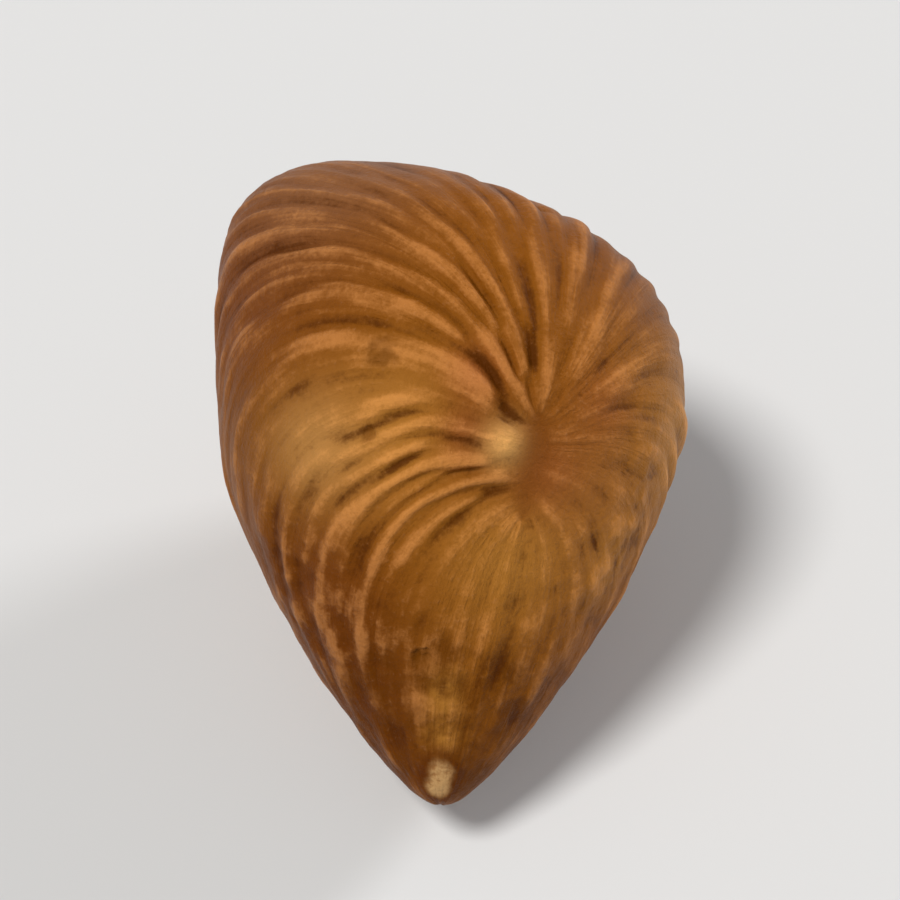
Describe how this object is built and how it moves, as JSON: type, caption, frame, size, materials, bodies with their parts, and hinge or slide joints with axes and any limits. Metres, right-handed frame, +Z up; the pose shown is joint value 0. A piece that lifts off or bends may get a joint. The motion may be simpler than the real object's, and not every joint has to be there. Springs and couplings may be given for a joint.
{
  "type": "shelled hazelnut kernel",
  "caption": "Shelled hazelnut kernel in its ridged brown skin, round behind and drawn out to a blunt point, lying on its flank.",
  "frame": {"origin": "on the surface that the kernel lies on, under the middle of its box", "axes": "+Z up, -Y towards the pointed end, +X to the right as seen from the pointed end's side; the kernel's own axis dips 24 degrees towards the point"},
  "size_m": [0.0118, 0.0156, 0.012],
  "materials": {
    "skin": "matt, dry, papery skin with a faint sheen on the ridges"
  },
  "bodies": {
    "root": {"hazelnut_kernel": "skin"}
  },
  "joints": []
}
